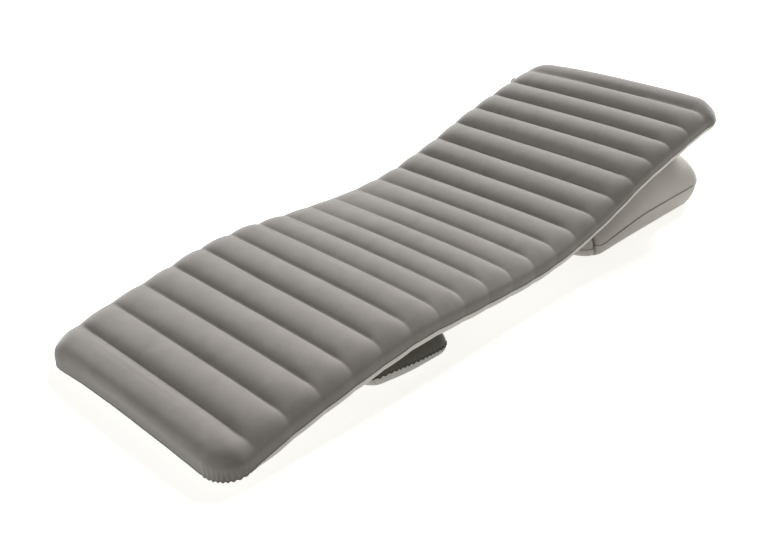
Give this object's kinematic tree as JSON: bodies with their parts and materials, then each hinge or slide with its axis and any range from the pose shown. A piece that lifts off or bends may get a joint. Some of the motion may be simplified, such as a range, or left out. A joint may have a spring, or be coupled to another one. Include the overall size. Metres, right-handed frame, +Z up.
{
  "type": "inflatable air mattress",
  "caption": "Long single air mattress with cross channels, bent in a reclined line over a low knee wedge and a taller back wedge, with screw and plug air valves.",
  "frame": {"origin": "centre of the footprint, on the floor", "axes": "+X from the foot end to the head end, +Z up, +Y to the right of a sleeper lying face up"},
  "size_m": [2.021, 0.7072, 0.3619],
  "materials": {
    "flocked_taupe": "flocked PVC film",
    "pale_pvc": "smooth PVC film",
    "flocked_charcoal": "flocked PVC film",
    "warm_pvc": "smooth PVC film",
    "beam_pvc": "plain PVC film",
    "valve_plastic": "moulded",
    "flap_silicone": "moulded"
  },
  "bodies": {
    "mattress": {"mattress_top_sheet": "flocked_taupe", "mattress_base_sheet": "pale_pvc", "mattress_beam_01": "beam_pvc", "mattress_beam_02": "beam_pvc", "mattress_beam_03": "beam_pvc", "mattress_beam_04": "beam_pvc", "mattress_beam_05": "beam_pvc", "mattress_beam_06": "beam_pvc", "mattress_beam_07": "beam_pvc", "mattress_beam_08": "beam_pvc", "mattress_beam_09": "beam_pvc", "mattress_beam_10": "beam_pvc", "mattress_beam_11": "beam_pvc", "mattress_beam_12": "beam_pvc", "mattress_beam_13": "beam_pvc", "mattress_beam_14": "beam_pvc", "mattress_beam_15": "beam_pvc", "mattress_beam_16": "beam_pvc", "mattress_beam_17": "beam_pvc", "mattress_beam_18": "beam_pvc", "mattress_beam_19": "beam_pvc", "mattress_beam_20": "beam_pvc", "mattress_valve_base": "valve_plastic"},
    "mattress_stopper": {"mattress_valve_stopper": "valve_plastic", "mattress_valve_flap": "flap_silicone"},
    "mattress_cap": {"mattress_valve_cap": "valve_plastic"},
    "knee_wedge": {"knee_wedge_top_sheet": "flocked_charcoal", "knee_wedge_base_sheet": "pale_pvc", "knee_wedge_beam_1": "beam_pvc", "knee_wedge_beam_2": "beam_pvc", "knee_wedge_valve_body": "valve_plastic", "knee_wedge_valve_flap": "flap_silicone"},
    "knee_wedge_cap": {"knee_wedge_valve_cap": "valve_plastic"},
    "back_wedge": {"back_wedge_top_sheet": "warm_pvc", "back_wedge_base_sheet": "warm_pvc", "back_wedge_beam_1": "beam_pvc", "back_wedge_beam_2": "beam_pvc", "back_wedge_beam_3": "beam_pvc", "back_wedge_beam_4": "beam_pvc", "back_wedge_valve_body": "valve_plastic", "back_wedge_valve_flap": "flap_silicone"},
    "back_wedge_cap": {"back_wedge_valve_cap": "valve_plastic"}
  },
  "joints": [
    {"name": "mattress_stopper_turn", "type": "hinge", "parent": "mattress", "child": "mattress_stopper", "pos_m": [0.81456, 0.33647, 0.29201], "axis": [0, 1, 0], "range_deg": [0, 540]},
    {"name": "mattress_cap_fold", "type": "hinge", "parent": "mattress_stopper", "child": "mattress_cap", "pos_m": [0.83106, 0.35192, 0.29201], "axis": [0, 0, -1], "range_deg": [0, 150]},
    {"name": "knee_wedge_slide", "type": "slide", "parent": "mattress", "child": "knee_wedge", "axis": [0, -1, 0], "range_m": [0, 0.67]},
    {"name": "knee_wedge_cap_fold", "type": "hinge", "parent": "knee_wedge", "child": "knee_wedge_cap", "pos_m": [-0.26792, 0.09397, 0.038], "axis": [0, 0, -1], "range_deg": [0, 150]},
    {"name": "back_wedge_slide", "type": "slide", "parent": "mattress", "child": "back_wedge", "axis": [0, -1, 0], "range_m": [0, 0.67]},
    {"name": "back_wedge_cap_fold", "type": "hinge", "parent": "back_wedge", "child": "back_wedge_cap", "pos_m": [1.00439, 0.09117, 0.112], "axis": [0, 0, -1], "range_deg": [0, 150]}
  ]
}
